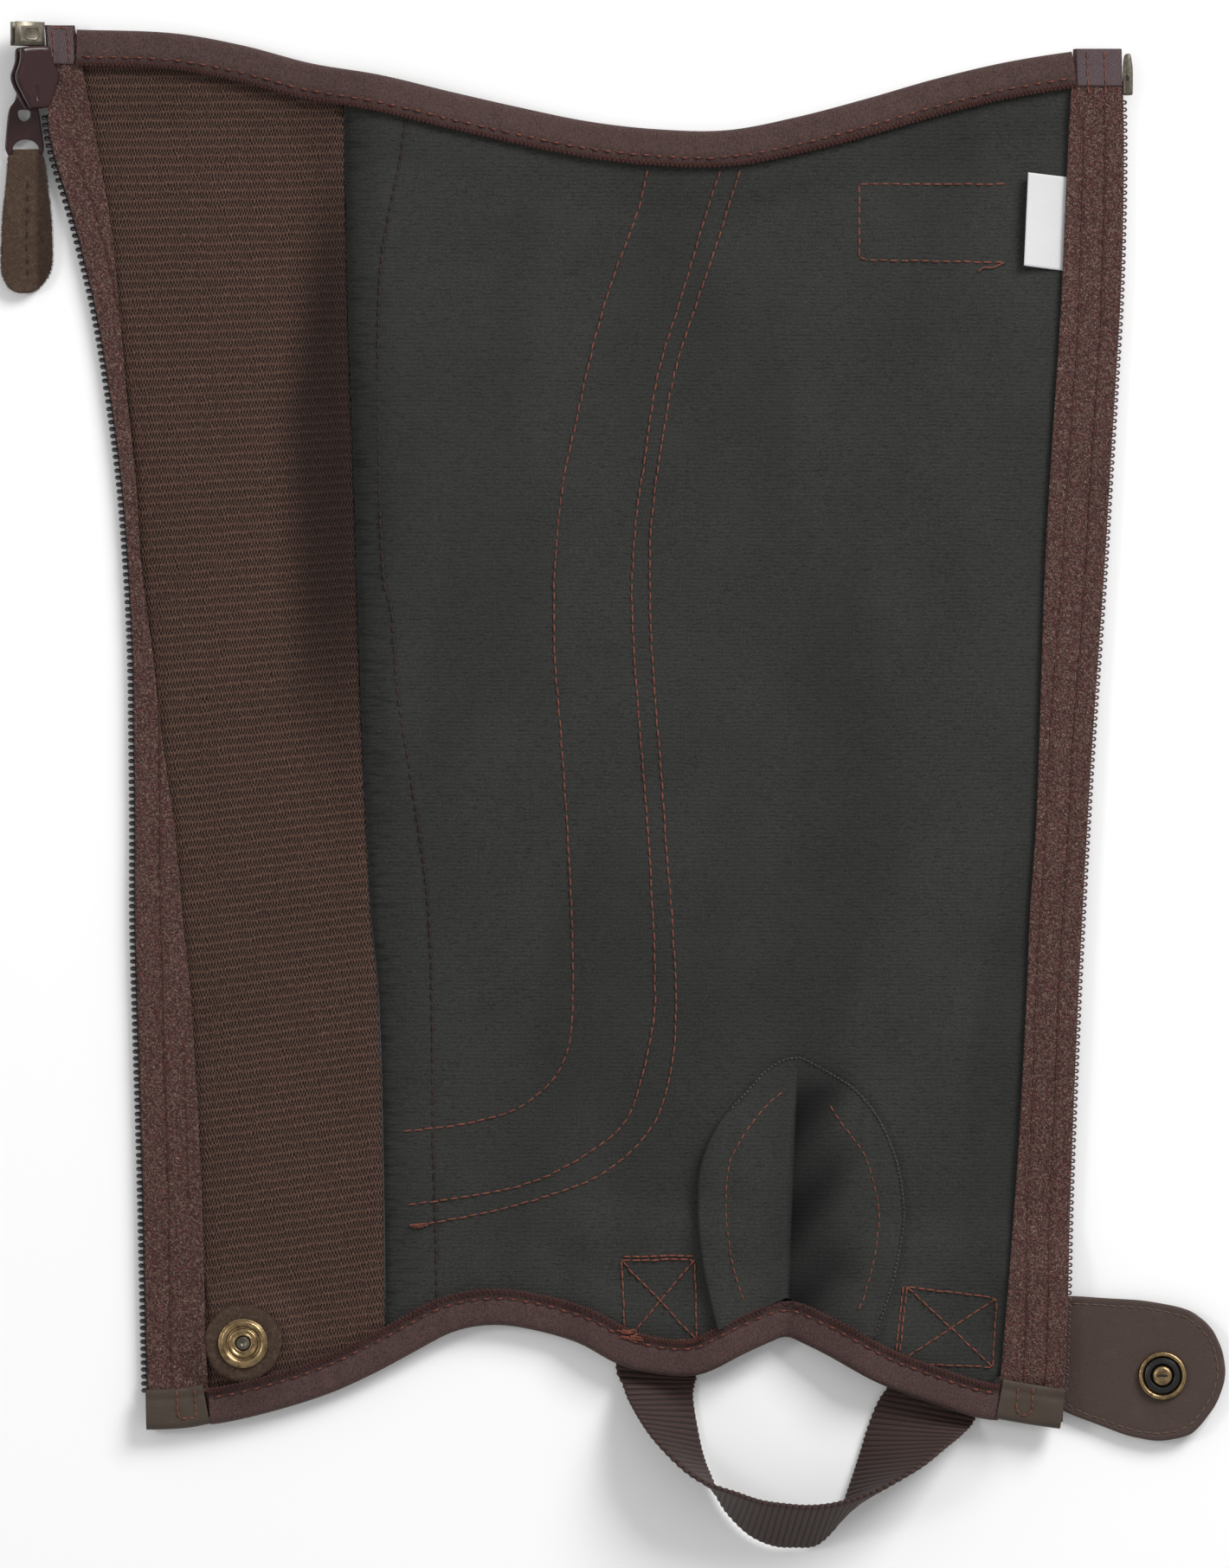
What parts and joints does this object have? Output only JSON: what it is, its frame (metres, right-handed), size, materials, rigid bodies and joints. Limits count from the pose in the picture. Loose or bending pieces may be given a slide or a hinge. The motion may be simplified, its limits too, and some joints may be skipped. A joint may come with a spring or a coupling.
{
  "type": "half chap",
  "caption": "Half chap for riding, opened flat with its lined inside up: elastic panel, zip tapes with slider and suede pull, bound edges, foot strap and snap tab.",
  "frame": {"origin": "middle of the whole garment's outline on the surface it lies on", "axes": "+Y up the leg towards the top edge, +X towards the edge with the snap tab, +Z away from the surface, towards the lined inside face"},
  "size_m": [0.2836, 0.3528, 0.0185],
  "materials": {
    "lining": "matte fleece",
    "elastic": "ribbed, matt",
    "tape_cloth": "knitted, matt",
    "satin": "satin ribbed",
    "webbing": "ribbed webbing",
    "leather": "soft sheen",
    "brass": "antique, satin",
    "black_plastic": "matt",
    "suede": "napped suede",
    "label_cloth": "woven satin",
    "antique_nickel": "antique nickel",
    "painted_metal": "glossy dark brown paint",
    "coil_plastic": "moulded plastic coil"
  },
  "bodies": {
    "garment": {"main_panel": "lining", "elastic_panel": "elastic", "top_binding": "satin", "hem_binding": "satin", "gusset_patch": "lining", "zip_tape_left": "tape_cloth", "zip_tape_right": "tape_cloth", "coil_left": "coil_plastic", "coil_right": "coil_plastic", "cap_left": "satin", "cap_right": "satin", "foot_strap": "webbing", "snap_tab": "leather", "socket_ring": "brass", "socket_insert": "black_plastic", "socket_stud": "brass", "socket_cap": "brass", "snap_washer": "suede", "snap_ring": "brass", "snap_stud": "brass", "care_label": "label_cloth", "retainer_box": "antique_nickel", "zip_pin": "antique_nickel", "slider": "painted_metal"},
    "pull": {"pull_link": "painted_metal", "suede_puller": "suede"}
  },
  "joints": [
    {"name": "pull_hinge", "type": "hinge", "parent": "garment", "child": "pull", "pos_m": [-0.13607, 0.16371, 0.0023], "axis": [1, 0, 0], "range_deg": [0, 165]}
  ]
}
